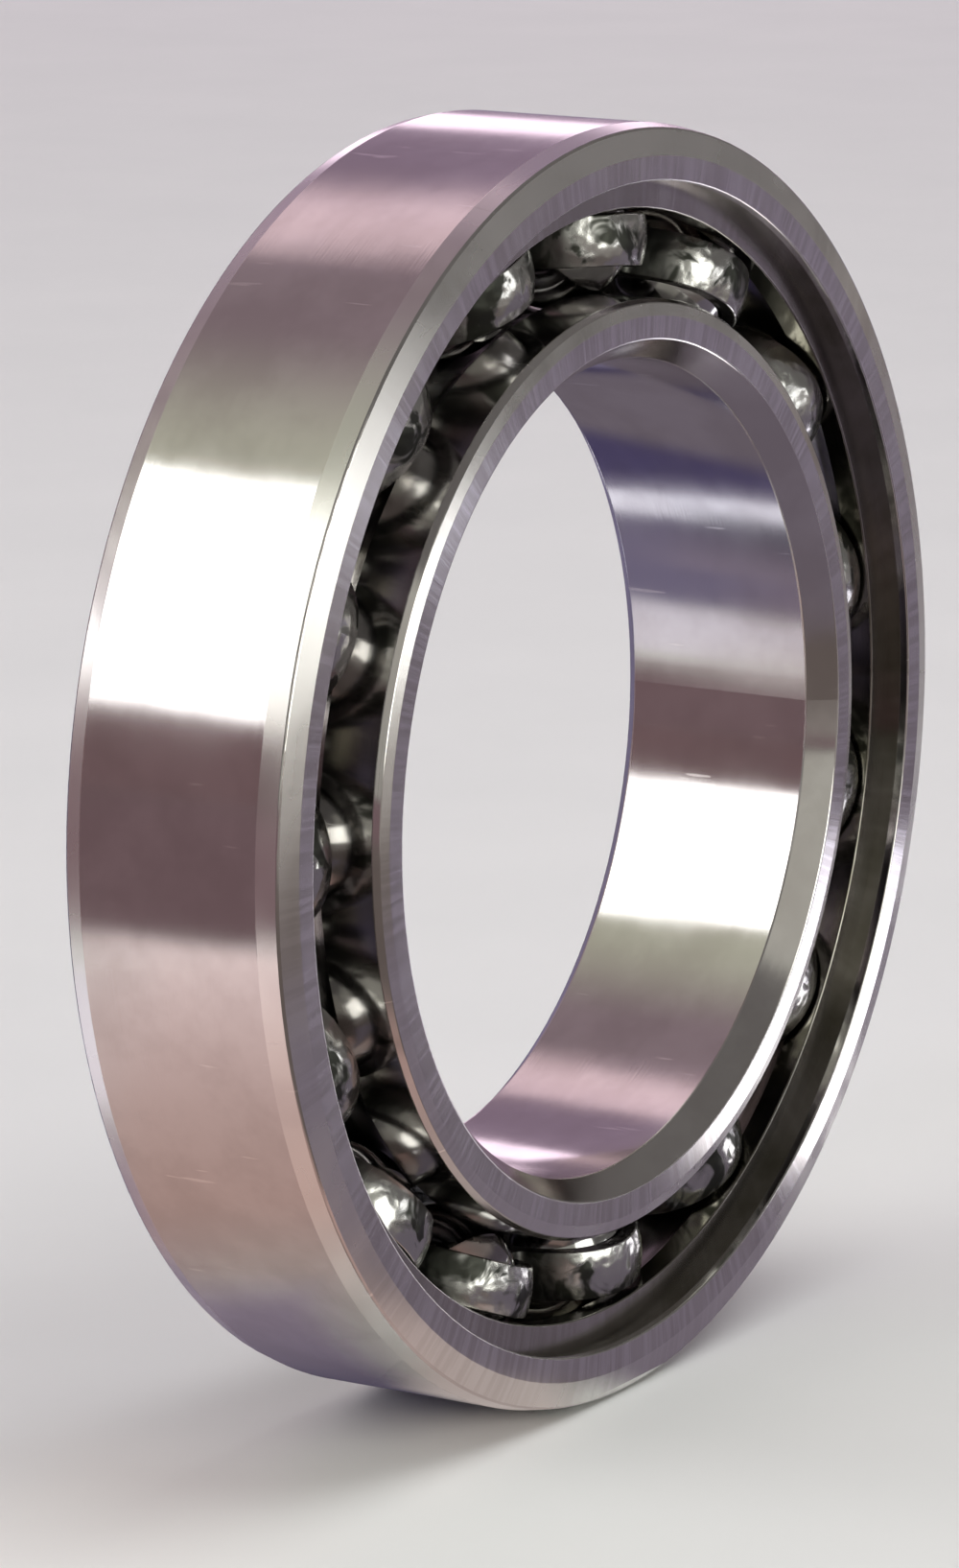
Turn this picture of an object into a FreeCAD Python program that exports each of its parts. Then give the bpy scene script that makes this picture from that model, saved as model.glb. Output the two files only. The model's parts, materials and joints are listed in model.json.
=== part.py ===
import FreeCAD, Part
import math
import os

import Sketcher

# Thin-section angular contact ball bearing.  Lengths are in millimetres, angles in degrees.
# The bearing axis is Y and the origin is the centre of the bearing.  The front is at -Y: there the
# outer ring has its high thrust shoulder and the inner ring its low one.  The back, at +Y, is the
# other way round, so the balls carry load along a line that slopes by the contact angle.

SIZES = (
    # boundary and ball set
    ("bore_diameter", 30.0),
    ("outside_diameter", 47.0),
    ("ring_width", 9.0),
    ("ball_diameter", 5.556),
    ("pitch_diameter", 38.5),
    ("ball_count", 15),
    ("contact_angle", 25.0),
    ("first_ball_angle", 12.0),
    # raceway grooves: radius of curvature over ball diameter, and the gap left at the contact point
    ("groove_ratio", 0.52),
    ("raceway_gap", 0.03),
    # outer ring, depths counted from the front face
    ("outer_front_corner_height", 1.14),
    ("outer_front_corner_depth", 1.05),
    ("outer_front_facet_height", 0.15),
    ("outer_front_facet_depth", 0.25),
    ("lip_diameter", 42.9),
    ("lip_depth", 0.34),
    ("lip_back_depth", 0.50),
    ("recess_diameter", 43.5),
    ("recess_depth", 1.05),
    ("outer_shoulder_diameter", 40.8),
    ("outer_relief_diameter", 43.24),
    ("outer_relief_mouth_diameter", 43.8),
    ("outer_back_corner", 0.8),
    ("outer_back_facet", 0.15),
    # inner ring, front depths counted from the front face
    ("bore_front_chamfer_height", 0.75),
    ("bore_front_chamfer_depth", 1.0),
    ("bore_back_chamfer", 0.45),
    ("inner_relief_diameter", 34.4),
    ("inner_front_corner_height", 0.6),
    ("inner_front_corner_depth", 0.35),
    ("inner_front_facet_height", 0.15),
    ("inner_front_facet_depth", 0.12),
    ("inner_shoulder_diameter", 36.2),
    ("inner_back_corner", 0.4),
    # edge breaks
    ("edge_round", 0.12),
    ("fine_edge_round", 0.07),
    # cage: two identical pressed ribbons riveted back to back
    ("cage_sheet", 0.5),
    ("cage_inner_diameter", 36.6),
    ("cage_outer_diameter", 40.4),
    ("pocket_gap", 0.1),
    ("cage_bend_round", 0.3),
    ("cage_edge_round", 0.07),
    ("trim_diameter", 48.0),
    # cage rivets
    ("rivet_shank_diameter", 0.8),
    ("rivet_head_diameter", 1.25),
    ("rivet_head_height", 0.34),
)

NEAR = 0.002
ORIGIN_POINT = (-1, 1)
HORIZONTAL_AXIS = -1
VERTICAL_AXIS = -2

# Expressions that several features share.
PITCH_RADIUS = "Sizes.pitch_diameter / 2"
BALL_RADIUS = "Sizes.ball_diameter / 2"
MID_DEPTH = "Sizes.ring_width / 2"
GROOVE_RADIUS = "Sizes.groove_ratio * Sizes.ball_diameter"
CURVE_OFFSET = "((Sizes.groove_ratio - 0.5) * Sizes.ball_diameter - Sizes.raceway_gap)"
OFFSET_RADIAL = CURVE_OFFSET + " * cos(Sizes.contact_angle * 1 deg)"
OFFSET_AXIAL = CURVE_OFFSET + " * sin(Sizes.contact_angle * 1 deg)"
POCKET_RADIUS = BALL_RADIUS + " + Sizes.pocket_gap"
CROWN_RADIUS = POCKET_RADIUS + " + Sizes.cage_sheet"


def make_sheet(doc):
    """The table of driving dimensions, one alias to a row."""
    sheet = doc.addObject("Spreadsheet::Sheet", "Sizes")
    for row, (alias, value) in enumerate(SIZES, start=1):
        sheet.set(f"A{row}", alias.replace("_", " "))
        sheet.set(f"B{row}", str(value))
        sheet.setAlias(f"B{row}", alias)
    doc.recompute()
    return sheet


def value_of(sheet, expression):
    """The number that an expression of sheet cells comes to."""
    result = sheet.evalExpression(expression)
    return float(getattr(result, "Value", result))


def new_body(doc, label):
    body = doc.addObject("PartDesign::Body", label)
    body.Label = label
    return body


def new_sketch(body, name, role):
    """A sketch on one of the body's own origin planes."""
    sketch = body.newObject("Sketcher::SketchObject", name)
    plane = next(item for item in body.Origin.OriginFeatures if item.Role == role)
    sketch.AttachmentSupport = (plane, [""])
    sketch.MapMode = "FlatFace"
    return sketch


def body_axis(body, role):
    return next(item for item in body.Origin.OriginFeatures if item.Role == role)


def bind(sketch, constraint, expression):
    """Adds a driving constraint whose value is an expression of the sheet."""
    index = sketch.addConstraint(constraint)
    sketch.setExpression(f"Constraints[{index}]", expression)


def place_point(sketch, geometry, end, across, along, sheet):
    """Ties a point to the two sketch axes; None leaves that coordinate to the curve it is on."""
    coordinates = (("DistanceX", across, VERTICAL_AXIS), ("DistanceY", along, HORIZONTAL_AXIS))
    for kind, expression, axis in coordinates:
        if expression is None:
            continue
        if expression == "0":
            sketch.addConstraint(Sketcher.Constraint("PointOnObject", geometry, end, axis))
        else:
            size = value_of(sheet, expression)
            bind(sketch, Sketcher.Constraint(kind, *ORIGIN_POINT, geometry, end, size), expression)


def draw_outline(sketch, sheet, corners, curves):
    """Draws a closed outline through corners given as (across, along) expressions.

    curves gives the stretches that are arcs: the index of the corner where one starts, with the centre's
    across and along, the radius, and whether it runs clockwise.  A corner whose along is None lies where
    its arc reaches that across value; the first such corner of an arc is below the centre.
    """
    spots = []
    for index, (across, along) in enumerate(corners):
        x = value_of(sheet, across)
        if along is None:
            side, owner = (-1, index) if index in curves else (1, index - 1)
            middle_x, middle_y, radius = [value_of(sheet, item) for item in curves[owner][:3]]
            y = middle_y + side * math.sqrt(radius ** 2 - (x - middle_x) ** 2)
        else:
            y = value_of(sheet, along)
        spots.append(FreeCAD.Vector(x, y, 0))
    ends = []
    for index, start in enumerate(spots):
        stop = spots[(index + 1) % len(spots)]
        if index in curves:
            ends.append(draw_arc(sketch, sheet, start, stop, *curves[index]))
        else:
            line = sketch.addGeometry(Part.LineSegment(start, stop), False)
            ends.append((line, 1, 2))
    for index, (geometry, _, end) in enumerate(ends):
        following, start, _ = ends[(index + 1) % len(ends)]
        sketch.addConstraint(Sketcher.Constraint("Coincident", geometry, end, following, start))
    for (across, along), (geometry, start, _) in zip(corners, ends):
        place_point(sketch, geometry, start, across, along, sheet)
    for index, (across, along, radius, _) in curves.items():
        arc = ends[index][0]
        ends_slide = corners[index][1] is None
        place_point(sketch, arc, 3, across, along if ends_slide else None, sheet)
        if ends_slide:
            bind(sketch, Sketcher.Constraint("Radius", arc, value_of(sheet, radius)), radius)


def draw_arc(sketch, sheet, start, stop, across, along, radius, clockwise):
    """Adds an arc from start to stop; returns its number and which of its ends start and stop are."""
    centre = FreeCAD.Vector(value_of(sheet, across), value_of(sheet, along), 0)
    first, last = (stop, start) if clockwise else (start, stop)
    angles = [math.atan2(spot.y - centre.y, spot.x - centre.x) for spot in (first, last)]
    if angles[1] < angles[0]:
        angles[1] += 2 * math.pi
    circle = Part.Circle(centre, FreeCAD.Vector(0, 0, 1), value_of(sheet, radius))
    arc = sketch.addGeometry(Part.ArcOfCircle(circle, *angles), False)
    return (arc, 2, 1) if clockwise else (arc, 1, 2)


def draw_circle(sketch, sheet, diameter, across="0", along="0"):
    """A circle whose centre is at (across, along), tied to the sheet."""
    centre = FreeCAD.Vector(value_of(sheet, across), value_of(sheet, along), 0)
    size = value_of(sheet, diameter)
    circle = Part.Circle(centre, FreeCAD.Vector(0, 0, 1), size / 2)
    geometry = sketch.addGeometry(circle, False)
    if across == "0" and along == "0":
        sketch.addConstraint(Sketcher.Constraint("Coincident", geometry, 3, *ORIGIN_POINT))
    else:
        place_point(sketch, geometry, 3, across, along, sheet)
    bind(sketch, Sketcher.Constraint("Diameter", geometry, size), diameter)


def draw_pocket_axis(sketch, sheet):
    """Construction line on the pitch circle, parallel to the bearing axis; returns its name."""
    x = value_of(sheet, PITCH_RADIUS)
    start = FreeCAD.Vector(x, 0, 0)
    stop = FreeCAD.Vector(x, 1, 0)
    line = sketch.addGeometry(Part.LineSegment(start, stop), True)
    place_point(sketch, line, 1, PITCH_RADIUS, "0", sheet)
    sketch.addConstraint(Sketcher.Constraint("Vertical", line))
    sketch.addConstraint(Sketcher.Constraint("DistanceY", line, 1, line, 2, 1.0))
    return "Axis0"


def round_edges(body, base, name, size, names):
    """Rounds the named edges of the body's last feature."""
    rounded = body.newObject("PartDesign::Fillet", name)
    rounded.Base = (base, names)
    rounded.setExpression("Radius", size)
    body.Document.recompute()
    return rounded


def circular_edges(shape):
    """Name and circle of every edge of a shape that is a true circle or part of one."""
    for number, edge in enumerate(shape.Edges, start=1):
        if not edge.Degenerated and edge.Curve.TypeId == "Part::GeomCircle":
            yield f"Edge{number}", edge.Curve


def hoop_edges(shape, sheet, spots):
    """Names of the circular edges about the bearing axis, given as (radius, depth) expressions."""
    wanted = [(value_of(sheet, radius), value_of(sheet, depth)) for radius, depth in spots]
    names = []
    for name, circle in circular_edges(shape):
        if any(abs(circle.Radius - radius) < NEAR and abs(circle.Center.y - depth) < NEAR
               for radius, depth in wanted):
            names.append(name)
    if len(names) != len(wanted):
        raise RuntimeError(f"found {len(names)} of {len(wanted)} ring edges")
    return names


def turned_ring(doc, sheet, label, corners, curves, rounded, finely_rounded):
    """A ring turned from one section; the section's depths start at the front face."""
    body = new_body(doc, label)
    section = new_sketch(body, label + "_section", "XY_Plane")
    draw_outline(section, sheet, corners, curves)
    turning = body.newObject("PartDesign::Revolution", label + "_turning")
    turning.Profile = section
    turning.ReferenceAxis = (section, ["V_Axis"])
    turning.Angle = 360
    doc.recompute()
    names = hoop_edges(turning.Shape, sheet, rounded)
    softened = round_edges(body, turning, label + "_edges", "Sizes.edge_round", names)
    names = hoop_edges(softened.Shape, sheet, finely_rounded)
    round_edges(body, softened, label + "_fine_edges", "Sizes.fine_edge_round", names)
    body.setExpression("Placement.Base.y", "-Sizes.ring_width / 2")
    return body


def make_outer_ring(doc, sheet):
    outside = "Sizes.outside_diameter / 2"
    front_corner = (outside + " - Sizes.outer_front_corner_height", "0")
    facet = (outside + " - Sizes.outer_front_facet_height", "Sizes.outer_front_facet_depth")
    seat_front = (outside, "Sizes.outer_front_corner_depth")
    seat_back = (outside, "Sizes.ring_width - Sizes.outer_back_corner")
    back_facet = (outside + " - Sizes.outer_back_facet", "Sizes.ring_width - Sizes.outer_back_facet")
    back_corner = (outside + " - Sizes.outer_back_corner", "Sizes.ring_width")
    lip = ("Sizes.lip_diameter / 2", "0")
    shoulder = ("Sizes.outer_shoulder_diameter / 2", "Sizes.recess_depth")
    relief_mouth = ("Sizes.outer_relief_mouth_diameter / 2", "Sizes.ring_width")
    corners = (
        seat_front,
        facet,
        front_corner,
        lip,
        ("Sizes.lip_diameter / 2", "Sizes.lip_depth"),
        ("Sizes.recess_diameter / 2", "Sizes.lip_back_depth"),
        ("Sizes.recess_diameter / 2", "Sizes.recess_depth"),
        shoulder,
        ("Sizes.outer_shoulder_diameter / 2", None),
        ("Sizes.outer_relief_diameter / 2", None),
        relief_mouth,
        back_corner,
        back_facet,
        seat_back,
    )
    groove_centre = (PITCH_RADIUS + " - " + OFFSET_RADIAL, MID_DEPTH + " + " + OFFSET_AXIAL)
    groove = {8: (*groove_centre, GROOVE_RADIUS, False)}
    rounded = (seat_front, facet, front_corner, back_corner, back_facet, seat_back)
    finely_rounded = (lip, shoulder, relief_mouth)
    return turned_ring(doc, sheet, "outer_ring", corners, groove, rounded, finely_rounded)


def make_inner_ring(doc, sheet):
    bore = "Sizes.bore_diameter / 2"
    relief = "Sizes.inner_relief_diameter / 2"
    shoulder = "Sizes.inner_shoulder_diameter / 2"
    bore_front = (bore, "Sizes.bore_front_chamfer_depth")
    face_front_inner = (bore + " + Sizes.bore_front_chamfer_height", "0")
    face_front_outer = (relief + " - Sizes.inner_front_corner_height", "0")
    facet = (relief + " - Sizes.inner_front_facet_height", "Sizes.inner_front_facet_depth")
    relief_front = (relief, "Sizes.inner_front_corner_depth")
    shoulder_back = (shoulder, "Sizes.ring_width - Sizes.inner_back_corner")
    face_back_outer = (shoulder + " - Sizes.inner_back_corner", "Sizes.ring_width")
    face_back_inner = (bore + " + Sizes.bore_back_chamfer", "Sizes.ring_width")
    bore_back = (bore, "Sizes.ring_width - Sizes.bore_back_chamfer")
    corners = (
        bore_front,
        face_front_inner,
        face_front_outer,
        facet,
        relief_front,
        (relief, None),
        (shoulder, None),
        shoulder_back,
        face_back_outer,
        face_back_inner,
        bore_back,
    )
    groove_centre = (PITCH_RADIUS + " + " + OFFSET_RADIAL, MID_DEPTH + " - " + OFFSET_AXIAL)
    groove = {5: (*groove_centre, GROOVE_RADIUS, True)}
    rounded = (bore_front, face_front_inner, face_front_outer, shoulder_back, face_back_inner, bore_back)
    finely_rounded = (facet, relief_front, face_back_outer)
    return turned_ring(doc, sheet, "inner_ring", corners, groove, rounded, finely_rounded)


def around_the_ring(body, name, feature):
    """Repeats a feature once for each ball, about the bearing axis."""
    pattern = body.newObject("PartDesign::PolarPattern", name)
    pattern.Originals = [feature]
    pattern.Axis = (body_axis(body, "Y_Axis"), [""])
    pattern.Angle = 360
    pattern.setExpression("Occurrences", "Sizes.ball_count")
    body.Tip = pattern
    body.Document.recompute()
    return pattern


def half_ball(doc, sheet, body, kind, name, radius):
    """Adds or cuts a half ball that stands on the ribbon's flat side; kind is the feature's type."""
    section = new_sketch(body, name + "_section", "XY_Plane")
    corners = ((PITCH_RADIUS, "0"), (PITCH_RADIUS + " + " + radius, "0"), (PITCH_RADIUS, radius))
    draw_outline(section, sheet, corners, {1: (PITCH_RADIUS, "0", radius, False)})
    axis = draw_pocket_axis(section, sheet)
    feature = body.newObject(kind, name)
    feature.Profile = section
    feature.ReferenceAxis = (section, [axis])
    feature.Angle = 360
    doc.recompute()
    return feature


def bend_edges(shape, sheet):
    """Edges where the crowns rise out of the flat webs, on the outer skin of the ribbon."""
    height = value_of(sheet, "Sizes.cage_sheet")
    crown = value_of(sheet, CROWN_RADIUS)
    foot = math.sqrt(crown ** 2 - height ** 2)
    names = []
    for name, circle in circular_edges(shape):
        if abs(circle.Radius - foot) < NEAR and abs(circle.Center.y - height) < NEAR:
            names.append(name)
    return names


def rim_edges(shape, sheet):
    """Edges of the ribbon's outer skin along its inner and outer rims."""
    diameters = ("Sizes.cage_inner_diameter", "Sizes.cage_outer_diameter")
    rims = [value_of(sheet, diameter + " / 2") for diameter in diameters]
    names = []
    for number, edge in enumerate(shape.Edges, start=1):
        if edge.Degenerated:
            continue
        points = edge.discretize(5)
        radii = [math.hypot(point.x, point.z) for point in points]
        on_rim = any(all(abs(radius - rim) < NEAR for radius in radii) for rim in rims)
        lowest = min(point.y for point in points)
        inner_skin = value_of(sheet, "Sizes.cage_sheet") - NEAR
        middle = points[2]
        if on_rim and lowest > inner_skin and not on_inner_skin(sheet, middle):
            names.append(f"Edge{number}")
    return names


def on_inner_skin(sheet, point):
    """Whether a point is on the pocket side of the ribbon, not on its outer skin."""
    pitch = value_of(sheet, PITCH_RADIUS)
    step = 2 * math.pi / value_of(sheet, "Sizes.ball_count")
    angle = math.atan2(point.z, point.x)
    nearest = round(angle / step) * step
    centre = FreeCAD.Vector(pitch * math.cos(nearest), 0, pitch * math.sin(nearest))
    return abs((point - centre).Length - value_of(sheet, POCKET_RADIUS)) < NEAR


def make_cage_half(doc, sheet, label, front):
    """One pressed ribbon: flat webs with rivet holes, and a crown over each ball."""
    body = new_body(doc, label)
    web_plan = new_sketch(body, label + "_web_plan", "XZ_Plane")
    draw_circle(web_plan, sheet, "Sizes.cage_outer_diameter")
    draw_circle(web_plan, sheet, "Sizes.cage_inner_diameter")
    web = body.newObject("PartDesign::Pad", label + "_web")
    web.Profile = web_plan
    web.setExpression("Length", "Sizes.cage_sheet")
    web.Reversed = True
    doc.recompute()

    crown = half_ball(doc, sheet, body, "PartDesign::Revolution", label + "_crown", CROWN_RADIUS)
    around_the_ring(body, label + "_crowns", crown)
    pocket = half_ball(doc, sheet, body, "PartDesign::Groove", label + "_pocket", POCKET_RADIUS)
    around_the_ring(body, label + "_pockets", pocket)

    trim_plan = new_sketch(body, label + "_trim_plan", "XZ_Plane")
    draw_circle(trim_plan, sheet, "Sizes.trim_diameter")
    draw_circle(trim_plan, sheet, "Sizes.cage_outer_diameter")
    draw_circle(trim_plan, sheet, "Sizes.cage_inner_diameter")
    trim = body.newObject("PartDesign::Pocket", label + "_trim")
    trim.Profile = trim_plan
    trim.Type = "ThroughAll"
    trim.Midplane = True
    doc.recompute()

    hole_plan = new_sketch(body, label + "_hole_plan", "XZ_Plane")
    half_step = "180 / Sizes.ball_count * 1 deg"
    draw_circle(hole_plan, sheet, "Sizes.rivet_shank_diameter",
                PITCH_RADIUS + " * cos(" + half_step + ")", PITCH_RADIUS + " * sin(" + half_step + ")")
    hole = body.newObject("PartDesign::Pocket", label + "_rivet_hole")
    hole.Profile = hole_plan
    hole.Type = "ThroughAll"
    hole.Midplane = True
    doc.recompute()
    holes = around_the_ring(body, label + "_rivet_holes", hole)

    names = bend_edges(holes.Shape, sheet)
    bends = round_edges(body, holes, label + "_bends", "Sizes.cage_bend_round", names)
    names = rim_edges(bends.Shape, sheet)
    round_edges(body, bends, label + "_rims", "Sizes.cage_edge_round", names)

    flip = FreeCAD.Rotation(FreeCAD.Vector(1, 0, 0), 180 if front else 0)
    body.Placement = FreeCAD.Placement(FreeCAD.Vector(0, 0, 0), turn_to_ball(sheet, 0) * flip)
    return body


def turn_to_ball(sheet, number):
    """Rotation about the bearing axis from +X to the place of a ball; halves give the webs."""
    angle = value_of(sheet, "Sizes.first_ball_angle") + number * 360 / value_of(sheet, "Sizes.ball_count")
    return FreeCAD.Rotation(FreeCAD.Vector(0, -1, 0), angle)


def make_rivets(doc, sheet):
    """The rivets that hold the ribbons together, one on each web, as one group of solids."""
    body = new_body(doc, "cage_rivets")
    body.AllowCompound = True
    section = new_sketch(body, "rivet_section", "XY_Plane")
    shank = PITCH_RADIUS + " + Sizes.rivet_shank_diameter / 2"
    rim = PITCH_RADIUS + " + Sizes.rivet_head_diameter / 2"
    seat_low = "Sizes.rivet_head_height"
    seat_high = "Sizes.rivet_head_height + 2 * Sizes.cage_sheet"
    top = "2 * Sizes.rivet_head_height + 2 * Sizes.cage_sheet"
    head_radius = "(Sizes.rivet_head_diameter / 2)"
    dome = f"({head_radius} ^ 2 + Sizes.rivet_head_height ^ 2) / (2 * Sizes.rivet_head_height)"
    corners = (
        (PITCH_RADIUS, "0"),
        (rim, seat_low),
        (shank, seat_low),
        (shank, seat_high),
        (rim, seat_high),
        (PITCH_RADIUS, top),
    )
    domes = {
        0: (PITCH_RADIUS, dome, dome, False),
        4: (PITCH_RADIUS, top + " - " + dome, dome, False),
    }
    draw_outline(section, sheet, corners, domes)
    axis = draw_pocket_axis(section, sheet)
    rivet = body.newObject("PartDesign::Revolution", "rivet")
    rivet.Profile = section
    rivet.ReferenceAxis = (section, [axis])
    rivet.Angle = 360
    doc.recompute()
    around_the_ring(body, "rivet_circle", rivet)
    middle = FreeCAD.Vector(0, value_of(sheet, top) / 2, 0)
    body.Placement = FreeCAD.Placement(-middle, turn_to_ball(sheet, 0.5))
    return body


def make_balls(doc):
    """The ball set on the pitch circle."""
    balls = []
    for number in range(int(dict(SIZES)["ball_count"])):
        ball = doc.addObject("Part::Sphere", f"ball_{number + 1:02d}")
        ball.Label = ball.Name
        ball.setExpression("Radius", BALL_RADIUS)
        turn = f"((Sizes.first_ball_angle + {number} * 360 / Sizes.ball_count) * 1 deg)"
        ball.setExpression("Placement.Base.x", f"{PITCH_RADIUS} * cos{turn}")
        ball.setExpression("Placement.Base.z", f"{PITCH_RADIUS} * sin{turn}")
        balls.append(ball)
    return balls


def failed_objects(doc):
    return [item.Name for item in doc.Objects if "Invalid" in item.State or "Error" in item.State]


def write_parts(parts):
    """Writes one STEP file for each sub-part, named after its label."""
    os.makedirs("parts", exist_ok=True)
    for part in parts:
        if part.Shape.isNull() or not part.Shape.isValid():
            raise RuntimeError(f"{part.Label} has no valid shape")
        part.Shape.exportStep(f"parts/{part.Label}.step")
        print(f"{part.Label}: {len(part.Shape.Solids)} solids, {part.Shape.Volume:.2f} mm3")


def main():
    doc = FreeCAD.newDocument("angular_contact_bearing")
    sheet = make_sheet(doc)
    parts = [
        make_outer_ring(doc, sheet),
        make_inner_ring(doc, sheet),
        make_cage_half(doc, sheet, "cage_front_half", front=True),
        make_cage_half(doc, sheet, "cage_back_half", front=False),
        make_rivets(doc, sheet),
        *make_balls(doc),
    ]
    doc.recompute()
    failed = failed_objects(doc)
    if failed:
        raise RuntimeError(f"these features failed: {failed}")
    write_parts(parts)


main()
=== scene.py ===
import json
import math

import bpy
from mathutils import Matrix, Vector


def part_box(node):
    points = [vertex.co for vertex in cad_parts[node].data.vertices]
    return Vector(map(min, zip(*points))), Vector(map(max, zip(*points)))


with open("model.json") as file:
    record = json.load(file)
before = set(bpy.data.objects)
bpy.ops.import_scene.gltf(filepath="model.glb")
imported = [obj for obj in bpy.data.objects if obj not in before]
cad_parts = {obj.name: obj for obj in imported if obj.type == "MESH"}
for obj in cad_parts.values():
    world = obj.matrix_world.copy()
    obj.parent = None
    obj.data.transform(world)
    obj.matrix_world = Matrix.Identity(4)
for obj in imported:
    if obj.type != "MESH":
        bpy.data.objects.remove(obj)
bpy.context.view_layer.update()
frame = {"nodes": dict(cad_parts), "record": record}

# Looks for a thin-section angular contact bearing whose axis is Y, with the open front at -Y.
# Lengths are in metres, angles in degrees unless a name says otherwise.

MM = 0.001
NODES = frame["nodes"]

# ---------------------------------------------------------------- places on the bearing
outer_low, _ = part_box("outer_ring")
FRONT = outer_low.y
FLOOR_HEIGHT = outer_low.z

# oil and painted shade darken the steel outside the first pair of radii, inside the second pair and behind
# the lip
OIL_AND_SHADE_FROM_RADII = (17.35 * MM, 17.6 * MM)
OIL_AND_SHADE_TO_RADII = (22.9 * MM, 22.6 * MM)
OIL_AND_SHADE_DEPTHS = (FRONT + 0.45 * MM, FRONT + 0.55 * MM)
# a cage crown's foot and top, as distances from the bearing's middle plane
CROWN_HEIGHTS = (1.6 * MM, 2.7 * MM)

# ---------------------------------------------------------------- colours and relief
STEEL_DARK = (0.56, 0.535, 0.52)
STEEL_LIGHT = (0.64, 0.62, 0.605)
STEEL_HATCHED = (0.80, 0.79, 0.79)
STEEL_WORN_AND_HIGHLIT = (0.84, 0.83, 0.80)
STEEL_NICKED = (0.80, 0.78, 0.75)
STEEL_OILED_AND_SHADED = (0.19, 0.18, 0.14)
BALL_DARK = (0.36, 0.36, 0.35)
BALL_LIGHT = (0.5, 0.5, 0.49)
CAGE_OILED = (0.045, 0.047, 0.04)
CAGE_BARE = (0.50, 0.50, 0.48)
RIVET_OILED = (0.12, 0.12, 0.11)
RIVET_BARE = (0.45, 0.44, 0.42)
FLOOR_COLORS = ((0.75, 0.765, 0.755), (0.81, 0.82, 0.81))

LAY_DEPTH = 0.0000012
WAVE_DEPTH = 0.00001
OIL_RIPPLE_DEPTH = 0.000004
SHEET_GRAIN_DEPTH = 0.000008
SHEET_SWELL_DEPTH = 0.0002

# ---------------------------------------------------------------- camera
CAMERA_AZIMUTH = -59.15
CAMERA_ELEVATION = 11.75
CAMERA_DISTANCE = 0.26275
CAMERA_LENS_MM = 164.74
AIM_TO_RIGHT = -0.00167
AIM_UPWARD = -0.00091


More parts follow.
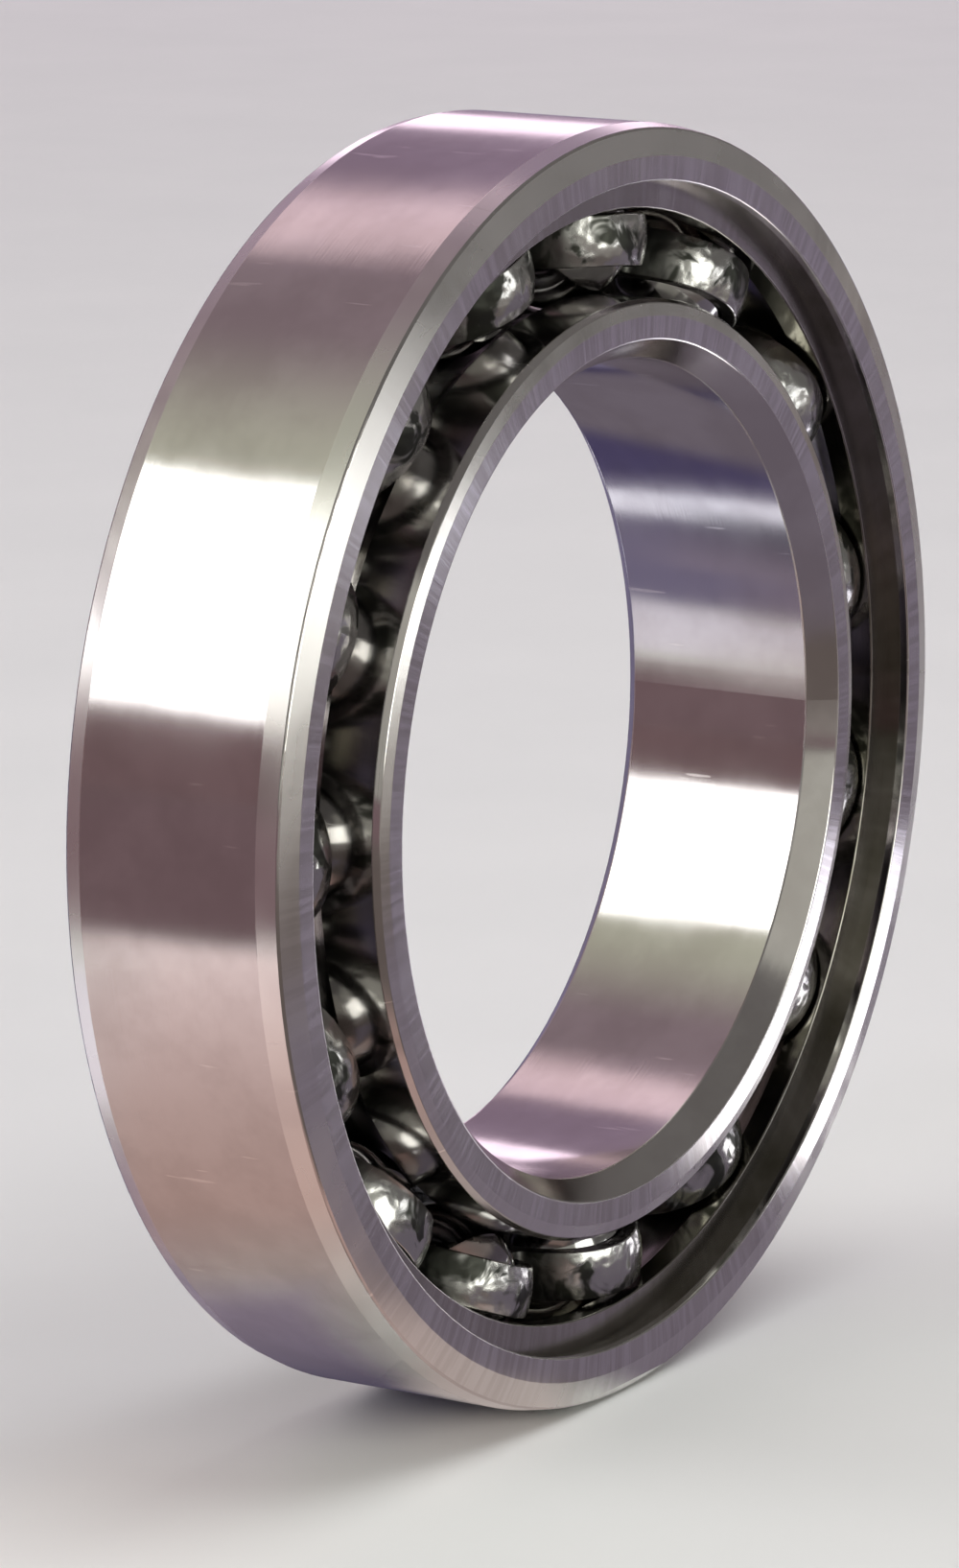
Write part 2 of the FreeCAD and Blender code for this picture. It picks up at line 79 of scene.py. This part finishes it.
# ---------------------------------------------------------------- node helpers
class Shader:
    """Builds one node tree, a material's or the world's; sockets or numbers go in, sockets come out."""

    def __init__(self, owner):
        self.owner = owner
        owner.use_nodes = True
        self.tree = owner.node_tree
        self.tree.nodes.clear()

    def node(self, kind, **settings):
        made = self.tree.nodes.new(kind)
        for key, value in settings.items():
            setattr(made, key, value)
        return made

    def feed(self, socket, value):
        if isinstance(value, bpy.types.NodeSocket):
            self.tree.links.new(value, socket)
        else:
            socket.default_value = value

    def math(self, operation, first, second=0.0, third=0.0):
        made = self.node("ShaderNodeMath", operation=operation)
        for socket, value in zip(made.inputs, (first, second, third)):
            self.feed(socket, value)
        return made.outputs[0]

    def times(self, first, second):
        return self.math("MULTIPLY", first, second)

    def plus(self, first, second):
        return self.math("ADD", first, second)

    def combine(self, x, y, z):
        made = self.node("ShaderNodeCombineXYZ")
        for socket, value in zip(made.inputs, (x, y, z)):
            self.feed(socket, value)
        return made.outputs[0]

    def split(self, vector):
        made = self.node("ShaderNodeSeparateXYZ")
        self.feed(made.inputs[0], vector)
        return made.outputs

    def noise(self, vector, scale=1.0, detail=2.0, roughness=0.5, distortion=0.0):
        made = self.node("ShaderNodeTexNoise")
        self.feed(made.inputs["Vector"], vector)
        self.feed(made.inputs["Scale"], scale)
        self.feed(made.inputs["Detail"], detail)
        self.feed(made.inputs["Roughness"], roughness)
        self.feed(made.inputs["Distortion"], distortion)
        return made.outputs["Fac"]

    def remap(self, value, low, high, to_low=0.0, to_high=1.0):
        made = self.node("ShaderNodeMapRange", interpolation_type="SMOOTHSTEP")
        for socket, item in zip(made.inputs, (value, low, high, to_low, to_high)):
            self.feed(socket, item)
        return made.outputs[0]

    def mix(self, factor, first, second):
        made = self.node("ShaderNodeMix", data_type="RGBA")
        self.feed(made.inputs[0], factor)
        for socket, value in zip((made.inputs[6], made.inputs[7]), (first, second)):
            if isinstance(value, tuple):
                value = (*value, 1.0)
            self.feed(socket, value)
        return made.outputs[2]

    def bump(self, height, depth, normal=None):
        made = self.node("ShaderNodeBump")
        made.inputs["Strength"].default_value = 1.0
        made.inputs["Distance"].default_value = depth
        self.feed(made.inputs["Height"], height)
        if normal is not None:
            self.feed(made.inputs["Normal"], normal)
        return made.outputs["Normal"]

    def output(self, shader, kind="ShaderNodeOutputMaterial"):
        self.feed(self.node(kind).inputs["Surface"], shader)

    def metal(self, color, roughness, normal, anisotropic=0.0, tangent=None):
        surface = self.node("ShaderNodeBsdfPrincipled")
        surface.inputs["Metallic"].default_value = 1.0
        surface.inputs["Anisotropic"].default_value = anisotropic
        surface.inputs["Anisotropic Rotation"].default_value = 0.25
        self.feed(surface.inputs["Base Color"], color)
        self.feed(surface.inputs["Roughness"], roughness)
        self.feed(surface.inputs["Normal"], normal)
        if tangent is not None:
            self.feed(surface.inputs["Tangent"], tangent)
        self.output(surface.outputs[0])
        return self.owner

    def oil_and_shade(self, radius, depth, cloud, face):
        """How much oil and painted shade darken a spot: in the recess, on the raceways and wherever the gap
        shelters it.
        """
        inside = self.remap(radius, *OIL_AND_SHADE_FROM_RADII)
        behind_lip = self.remap(depth, *OIL_AND_SHADE_DEPTHS)
        not_seat = self.remap(radius, *OIL_AND_SHADE_TO_RADII)
        sheltered = self.times(self.times(inside, behind_lip), not_seat)
        patchy = self.remap(cloud, 0.3, 0.7, 0.55, 1.0)
        thick = self.math("SUBTRACT", 1.0, self.times(face, 0.4))
        return self.times(self.times(sheltered, patchy), thick)

    def place(self):
        """Texture coordinates, radius from the bearing axis, depth, and the unit direction's x and z."""
        where = self.node("ShaderNodeTexCoord")
        x, y, z = self.split(where.outputs["Object"])
        length = self.node("ShaderNodeVectorMath", operation="LENGTH")
        self.feed(length.inputs[0], self.combine(x, 0.0, z))
        radius = length.outputs["Value"]
        return where, radius, y, self.math("DIVIDE", x, radius), self.math("DIVIDE", z, radius)


def material_shader(name):
    return Shader(bpy.data.materials.new(name))


# ---------------------------------------------------------------- materials
def ring_steel(name):
    """Ground bearing steel: fine lay round the axis, cross-ground faces, dark oil and painted shade in the
    recesses, rounded edges painted lighter as wear and as highlight.
    """
    s = material_shader(name)
    where, radius, depth, unit_x, unit_z = s.place()
    spot = where.outputs["Object"]
    slope = s.math("ABSOLUTE", s.split(where.outputs["Normal"])[1])
    face = s.remap(slope, 0.90, 0.99)
    round_side = s.math("SUBTRACT", 1.0, face)

    # lay: fine grooves at constant radius and depth, each a little broken along its length
    across = s.plus(radius, s.times(depth, 1.37))
    lay = s.noise(s.combine(s.times(across, 9000.0), s.times(unit_x, 2.5), s.times(unit_z, 2.5)),
                  detail=3.0, roughness=0.65)
    bands = s.noise(s.combine(s.times(across, 1400.0), s.times(unit_x, 0.8), s.times(unit_z, 0.8)),
                    detail=2.0)
    # hatch: short radial marks left by the face grinding
    hatch = s.noise(s.combine(s.times(unit_x, 75.0), s.times(unit_z, 75.0), s.times(radius, 160.0)),
                    detail=3.0, roughness=0.6)
    cloud = s.noise(spot, scale=240.0, detail=4.0, roughness=0.6)
    smudge = s.noise(spot, scale=95.0, detail=3.0, roughness=0.55, distortion=0.8)
    wave = s.noise(spot, scale=230.0, detail=2.0)
    # nicks: a few short scratches across the lay of the round surfaces
    nick = s.noise(s.combine(s.times(unit_x, 55.0), s.times(unit_z, 55.0), s.times(depth, 260.0)),
                   detail=2.0, roughness=0.5)
    nick = s.times(s.remap(nick, 0.70, 0.74, 0.0, 0.8), round_side)
    height = s.plus(s.times(lay, round_side), s.times(hatch, face))
    normal = s.bump(height, LAY_DEPTH, s.bump(wave, WAVE_DEPTH))

    # wear and painted highlight: the rounded edges beside the faces and the outside are painted lighter, in
    # stretches, as rubbed steel and as edge highlights
    face_edge = s.times(s.remap(slope, 0.87, 0.93), s.remap(slope, 0.995, 0.975))
    outer_edge = s.times(s.remap(slope, 0.05, 0.15), s.remap(slope, 0.48, 0.36))
    worn_and_highlit = s.times(s.plus(face_edge, outer_edge), s.remap(smudge, 0.35, 0.6, 0.35, 1.0))

    rough = s.plus(s.remap(smudge, 0.4, 0.7, 0.10, 0.16), s.times(bands, 0.04))
    rough = s.plus(rough, s.times(face, 0.04))
    rough = s.plus(rough, s.times(s.plus(worn_and_highlit, nick), 0.12))

    color = s.mix(s.remap(cloud, 0.35, 0.65), STEEL_DARK, STEEL_LIGHT)
    color = s.mix(s.times(s.remap(hatch, 0.4, 0.65, 0.0, 0.6), face), color, STEEL_HATCHED)
    # painted highlight and wear: the rounded edges are mixed towards a lighter steel
    color = s.mix(worn_and_highlit, color, STEEL_WORN_AND_HIGHLIT)
    color = s.mix(nick, color, STEEL_NICKED)
    # painted shade and oil: recesses, raceways and gaps are mixed towards a dark steel
    color = s.mix(s.oil_and_shade(radius, depth, cloud, face), color, STEEL_OILED_AND_SHADED)
    tangent = s.node("ShaderNodeTangent", direction_type="RADIAL", axis="Y")
    return s.metal(color, rough, normal, anisotropic=0.75, tangent=tangent.outputs[0])


def ball_steel(name):
    """Polished balls with an uneven film of oil."""
    s = material_shader(name)
    where = s.node("ShaderNodeTexCoord")
    cloud = s.noise(where.outputs["Object"], scale=500.0, detail=4.0, roughness=0.6)
    normal = s.bump(cloud, OIL_RIPPLE_DEPTH)
    rough = s.remap(cloud, 0.3, 0.7, 0.05, 0.14)
    return s.metal(s.mix(s.remap(cloud, 0.35, 0.65), BALL_DARK, BALL_LIGHT), rough, normal)


def cage_steel(name, oiled, bare):
    """Pressed sheet under dark oil that has been rubbed off the tops of the crowns in patches."""
    s = material_shader(name)
    where, _, depth, *_ = s.place()
    spot = where.outputs["Object"]
    patches = s.noise(spot, scale=560.0, detail=3.0, roughness=0.6, distortion=0.6)
    grain = s.noise(spot, scale=3600.0, detail=4.0, roughness=0.6)
    swell = s.noise(spot, scale=700.0, detail=2.0)
    normal = s.bump(grain, SHEET_GRAIN_DEPTH, s.bump(swell, SHEET_SWELL_DEPTH))
    crown = s.remap(s.math("ABSOLUTE", depth), *CROWN_HEIGHTS)
    rubbed = s.times(s.remap(patches, 0.40, 0.50), s.math("MULTIPLY_ADD", crown, 0.85, 0.15))
    rough = s.plus(s.remap(rubbed, 0.0, 1.0, 0.36, 0.17), s.times(grain, 0.06))
    return s.metal(s.mix(rubbed, oiled, bare), rough, normal)


def dress_nodes():
    finishes = {
        "ring_steel": ring_steel("ground_ring_steel"),
        "ball_steel": ball_steel("polished_ball_steel"),
        "cage_steel": cage_steel("oiled_cage_steel", CAGE_OILED, CAGE_BARE),
        "rivet_steel": cage_steel("oiled_rivet_steel", RIVET_OILED, RIVET_BARE),
    }
    slots = {part["node"]: part["material_slot"] for part in frame["record"]["subparts"]}
    for name, node in NODES.items():
        for slot in node.material_slots:
            slot.material = finishes[slots[name]]


# ---------------------------------------------------------------- studio
def add_floor():
    bpy.ops.mesh.primitive_circle_add(vertices=96, radius=4.0, fill_type="NGON",
                                      location=(0, 0, FLOOR_HEIGHT))
    floor = bpy.context.object
    floor.name = "floor"
    s = material_shader("pale_floor")
    where = s.node("ShaderNodeTexCoord")
    grain = s.noise(where.outputs["Object"], scale=60.0, detail=5.0)
    surface = s.node("ShaderNodeBsdfPrincipled")
    s.feed(surface.inputs["Base Color"], s.mix(grain, *FLOOR_COLORS))
    surface.inputs["Roughness"].default_value = 0.6
    s.output(surface.outputs[0])
    floor.data.materials.append(s.owner)


def heading(angle, elevation=0.0):
    """Unit vector at an angle from +X towards +Y, raised by an elevation."""
    angle, elevation = math.radians(angle), math.radians(elevation)
    level = math.cos(elevation)
    return Vector((level * math.cos(angle), level * math.sin(angle), math.sin(elevation)))


def add_light(name, middle, size, radiance, tint=(1.0, 1.0, 1.0), in_reflections=True):
    """A flat lamp at a place, turned to face the bearing, as bright as the radiance says."""
    lamp = bpy.data.lights.new(name, "AREA")
    lamp.shape = "RECTANGLE"
    lamp.size, lamp.size_y = size
    lamp.energy = radiance * math.pi * size[0] * size[1]
    lamp.color = tint
    item = bpy.data.objects.new(name, lamp)
    bpy.context.scene.collection.objects.link(item)
    item.location = middle
    item.rotation_euler = (-middle).to_track_quat("-Z", "Y").to_euler()
    item.visible_camera = False
    item.visible_glossy = in_reflections
    return item


def add_upright_light(name, angle, distance, width, bottom, top, radiance, tint=(1.0, 1.0, 1.0)):
    """A lamp that stands upright between two heights, at an angle round the bearing."""
    item = add_light(name, heading(angle) * distance, (width, top - bottom), radiance, tint)
    item.location.z = (top + bottom) / 2


def add_card(name, angle, near, far, right, left, color, far_color=None, *, feather, lift_mm):
    """A glowing card lying on the floor that only the steel's reflections see.

    It runs from near to far along the angle, spreads right and left of that line, and fades out
    within the feather at all four sides. The lift stacks the cards so that none share a plane.
    """
    mesh = bpy.data.meshes.new(name)
    spots = [(near, -right, 0), (far, -right, 0), (far, left, 0), (near, left, 0)]
    mesh.from_pydata(spots, [], [(0, 1, 2, 3)])
    card = bpy.data.objects.new(name, mesh)
    bpy.context.scene.collection.objects.link(card)
    card.location.z = FLOOR_HEIGHT + lift_mm * MM
    card.rotation_euler.z = math.radians(angle)
    card.visible_camera = False
    card.visible_diffuse = False
    card.visible_shadow = False
    s = material_shader(name)
    where = s.node("ShaderNodeTexCoord")
    along, aside, _ = s.split(where.outputs["Object"])
    glow = s.node("ShaderNodeEmission")
    s.feed(glow.inputs["Color"], s.mix(s.remap(along, near, far), color, far_color or color))
    ends = s.math("MINIMUM", s.math("SUBTRACT", along, near), s.math("SUBTRACT", far, along))
    sides = s.math("MINIMUM", s.plus(aside, right), s.math("SUBTRACT", left, aside))
    clear = s.node("ShaderNodeBsdfTransparent")
    blend = s.node("ShaderNodeMixShader")
    s.feed(blend.inputs[0], s.remap(s.math("MINIMUM", ends, sides), 0.0, feather))
    s.feed(blend.inputs[1], clear.outputs[0])
    s.feed(blend.inputs[2], glow.outputs[0])
    s.output(blend.outputs[0])
    mesh.materials.append(s.owner)


def add_world():
    """Dim room: darker in front of the bearing, warmer and lighter behind and above it."""
    world = bpy.data.worlds.new("room")
    s = Shader(world)
    where = s.node("ShaderNodeTexCoord")
    x, y, z = s.split(where.outputs["Generated"])
    front_wall = (0.18, 0.17, 0.165)
    back_wall = s.mix(s.remap(x, 0.1, 0.6), (0.31, 0.235, 0.265), (0.33, 0.24, 0.33))
    beside_window = s.times(s.remap(x, 0.0, -0.45), s.remap(z, 0.3, 0.7))
    back_wall = s.mix(beside_window, back_wall, (0.60, 0.60, 0.49))
    below_window = s.times(s.remap(x, -0.3, -0.5), s.remap(z, 0.3, 0.2))
    back_wall = s.mix(below_window, back_wall, (0.22, 0.14, 0.15))
    sky = s.node("ShaderNodeBackground")
    s.feed(sky.inputs[0], s.mix(s.remap(y, -0.1, 0.4), front_wall, back_wall))
    s.output(sky.outputs[0], "ShaderNodeOutputWorld")
    bpy.context.scene.world = world


def add_lights():
    """Windows, strips and spill of the room, each where its reflection belongs in the steel."""
    cream = (1.0, 1.0, 0.88)
    add_light("floor_light", Vector((0.1, -0.35, 1.1)), (0.9, 0.9), radiance=3.2, in_reflections=False)
    add_upright_light("side_window", angle=142.0, distance=0.5, width=0.36, bottom=0.112, top=0.51,
                      radiance=3.0)
    add_upright_light("side_spill", angle=172.0, distance=0.5, width=0.16, bottom=0.12, top=0.7,
                      radiance=0.9, tint=cream)
    add_upright_light("front_spill", angle=-120.0, distance=0.5, width=0.5, bottom=0.0, top=0.5,
                      radiance=0.38, tint=cream)
    add_upright_light("front_window", angle=-94.0, distance=0.42, width=0.24, bottom=0.0, top=0.2,
                      radiance=3.4, tint=(1.0, 1.0, 0.94))
    add_upright_light("low_window", angle=-60.0, distance=0.3, width=0.1, bottom=-0.010, top=0.036,
                      radiance=2.6)
    add_light("ceiling_strip", heading(51.0, 50.0) * 0.8, (0.3, 0.15), radiance=0.85, tint=(1.0, 0.76, 0.78))
    add_light("right_window", heading(31.0, 14.5) * 0.7, (0.3, 0.14), radiance=1.7, tint=(1.0, 0.80, 0.94))


def add_cards():
    """Cloths and papers on the table round the bearing, and a dark card of painted contact shade at its
    foot, all seen only in its steel.
    """
    add_card("front_cloth", angle=-90.0, near=0.004, far=0.13, right=2.0, left=2.0,
             color=(0.17, 0.14, 0.13), far_color=(0.19, 0.16, 0.15), feather=0.003, lift_mm=0.1)
    add_card("front_far_cloth", angle=-90.0, near=0.09, far=3.5, right=2.0, left=2.0,
             color=(0.34, 0.31, 0.29), feather=0.05, lift_mm=0.12)
    add_card("side_cloth", angle=148.0, near=0.060, far=3.5, right=2.0, left=2.0,
             color=(0.22, 0.145, 0.16), far_color=(0.20, 0.14, 0.15), feather=0.022, lift_mm=0.2)
    # painted shade: a dark card at the bearing's foot, seen only in the steel, darkens the reflected floor
    # where the bearing stands and lightens further out
    add_card("contact_shade_card", angle=162.0, near=0.002, far=0.018, right=0.020, left=0.004,
             color=(0.02, 0.02, 0.05), far_color=(0.34, 0.28, 0.36), feather=0.004, lift_mm=0.32)
    add_card("cream_patch", angle=214.0, near=0.004, far=0.028, right=0.006, left=0.009,
             color=(0.50, 0.44, 0.42), far_color=(0.62, 0.42, 0.38), feather=0.003, lift_mm=0.34)
    add_card("back_cloth", angle=90.0, near=0.006, far=3.5, right=2.0, left=0.026,
             color=(0.21, 0.185, 0.29), far_color=(0.26, 0.22, 0.31), feather=0.008, lift_mm=0.25)
    # strips behind the bearing, which the bore shows as fine light and dark bands
    add_card("back_pale_line", angle=90.0, near=0.004, far=0.05, right=0.0045, left=0.0005,
             color=(1.4, 1.4, 1.6), feather=0.001, lift_mm=0.27)
    add_card("back_dim_strip", angle=90.0, near=0.004, far=0.05, right=0.0185, left=-0.0055,
             color=(0.09, 0.075, 0.17), feather=0.002, lift_mm=0.27)
    add_card("back_pale_strip", angle=90.0, near=0.004, far=0.05, right=0.0270, left=-0.0210,
             color=(2.4, 2.35, 2.6), feather=0.0015, lift_mm=0.27)
    add_card("back_dark_strip", angle=90.0, near=0.004, far=0.12, right=0.052, left=-0.028,
             color=(0.05, 0.04, 0.10), far_color=(0.07, 0.06, 0.14), feather=0.002, lift_mm=0.27)
    # the low left of the outside
    add_card("warm_cloth", angle=159.0, near=0.012, far=0.078, right=0.013, left=0.03,
             color=(0.52, 0.35, 0.31), far_color=(1.15, 0.93, 0.93), feather=0.012, lift_mm=0.3)
    add_card("lavender_patch", angle=138.0, near=0.030, far=0.062, right=0.012, left=0.008,
             color=(0.95, 0.90, 1.02), far_color=(1.0, 0.95, 1.05), feather=0.006, lift_mm=0.35)
    # the faces and chamfers at the right
    add_card("lilac_cloth", angle=-30.0, near=0.0, far=0.6, right=0.05, left=0.05,
             color=(0.20, 0.17, 0.21), far_color=(0.23, 0.19, 0.27), feather=0.004, lift_mm=0.4)
    add_card("near_paper", angle=-24.0, near=0.034, far=0.096, right=0.007, left=0.006,
             color=(3.6, 3.5, 3.6), far_color=(3.0, 2.9, 3.3), feather=0.002, lift_mm=0.5)
    add_card("far_paper", angle=-35.3, near=0.178, far=0.212, right=0.012, left=0.012,
             color=(1.5, 1.48, 1.7), feather=0.004, lift_mm=0.5)


def add_camera():
    """A long lens, a little above the bearing's middle and well round to its left."""
    azimuth = math.radians(CAMERA_AZIMUTH)
    elevation = math.radians(CAMERA_ELEVATION)
    level = math.cos(elevation)
    back = Vector((math.sin(azimuth) * level, -math.cos(azimuth) * level, math.sin(elevation)))
    right = Vector((math.cos(azimuth), math.sin(azimuth), 0.0))
    up = back.cross(right)
    aim = right * AIM_TO_RIGHT + up * AIM_UPWARD
    lens = bpy.data.cameras.new("camera")
    lens.lens = CAMERA_LENS_MM
    lens.sensor_width = 36.0
    lens.clip_start = 0.005
    camera = bpy.data.objects.new("camera", lens)
    bpy.context.scene.collection.objects.link(camera)
    camera.location = back * CAMERA_DISTANCE
    camera.rotation_euler = (aim - camera.location).to_track_quat("-Z", "Y").to_euler()
    bpy.context.scene.camera = camera


dress_nodes()
add_floor()
add_world()
add_lights()
add_cards()
add_camera()
bpy.context.scene.view_settings.view_transform = "Standard"
